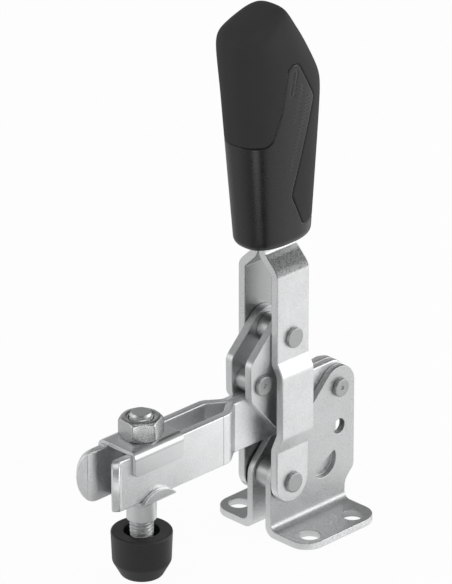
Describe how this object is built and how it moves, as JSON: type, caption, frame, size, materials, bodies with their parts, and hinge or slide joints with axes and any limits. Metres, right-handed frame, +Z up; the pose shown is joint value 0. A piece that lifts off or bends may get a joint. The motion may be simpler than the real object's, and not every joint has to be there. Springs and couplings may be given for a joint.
{
  "type": "toggle clamp",
  "caption": "Vertical toggle clamp: a hand lever and links lock an open two-strip arm that presses down with a rubber-tipped screw, on a bolt-down sheet steel base.",
  "frame": {"origin": "middle of the four bolt holes, on the face that is bolted down", "axes": "+X runs forward to the tip of the holding arm, +Y to the clamp's left side, +Z up out of the mounting face; the clamp is closed, with its handle upright and its arm level"},
  "size_m": [0.1133, 0.044, 0.1854],
  "materials": {
    "steel_plate": "zinc plated, satin",
    "steel_saddle": "zinc plated, bright",
    "steel_bush": "case-hardened, dull",
    "steel_rivet": "plain, closed by riveting",
    "zinc_hardware": "zinc plated",
    "grip_plastic": "fine-grained moulded plastic",
    "grip_soft": "smooth soft-touch skin",
    "cap_rubber": "moulded rubber"
  },
  "bodies": {
    "base": {"base_plate_left": "steel_plate", "base_plate_right": "steel_plate", "base_spacer_bush": "steel_bush", "handle_pivot_pin": "steel_rivet", "arm_pivot_pin": "steel_rivet"},
    "handle": {"handle_strap_left": "steel_plate", "handle_strap_right": "steel_plate", "handle_link_rivets": "steel_rivet", "grip_core": "grip_plastic", "grip_skin": "grip_soft"},
    "arm": {"arm_strip_left": "steel_plate", "arm_strip_right": "steel_plate", "arm_rear_bush": "steel_bush", "arm_front_bush": "steel_bush"},
    "link": {"link_plate_left": "steel_plate", "link_plate_right": "steel_plate", "link_spacer_bush": "steel_bush", "link_head_pin": "steel_rivet", "link_arm_pin": "steel_rivet", "stop_bush": "steel_bush", "stop_rivet": "steel_rivet"},
    "spindle_set": {"upper_saddle": "steel_saddle", "lower_saddle": "steel_saddle", "lock_nut": "zinc_hardware"},
    "screw": {"clamping_screw": "zinc_hardware", "rubber_cap": "cap_rubber"}
  },
  "joints": [
    {"name": "handle_swing", "type": "hinge", "parent": "base", "child": "handle", "pos_m": [0.0106, 0, 0.0195], "axis": [0, -1, 0], "range_deg": [0, 60]},
    {"name": "arm_lift", "type": "hinge", "parent": "base", "child": "arm", "pos_m": [-0.0146, 0, 0.0439], "axis": [0, -1, 0], "range_deg": [0, 101.1]},
    {"name": "link_turn", "type": "hinge", "parent": "arm", "child": "link", "pos_m": [0.0102, 0, 0.0445], "axis": [0, -1, 0], "range_deg": [0, 47.8]},
    {"name": "spindle_slide", "type": "slide", "parent": "arm", "child": "spindle_set", "axis": [1, 0, 0], "range_m": [-0.0195, 0.0015]},
    {"name": "screw_lift", "type": "slide", "parent": "spindle_set", "child": "screw", "axis": [0, 0, 1], "range_m": [-0.0015, 0.0035]}
  ],
  "couplings": [
    {"joint": "arm_lift", "follows": "handle_swing", "ratio": 1.6768},
    {"joint": "link_turn", "follows": "handle_swing", "ratio": 0.7885}
  ]
}
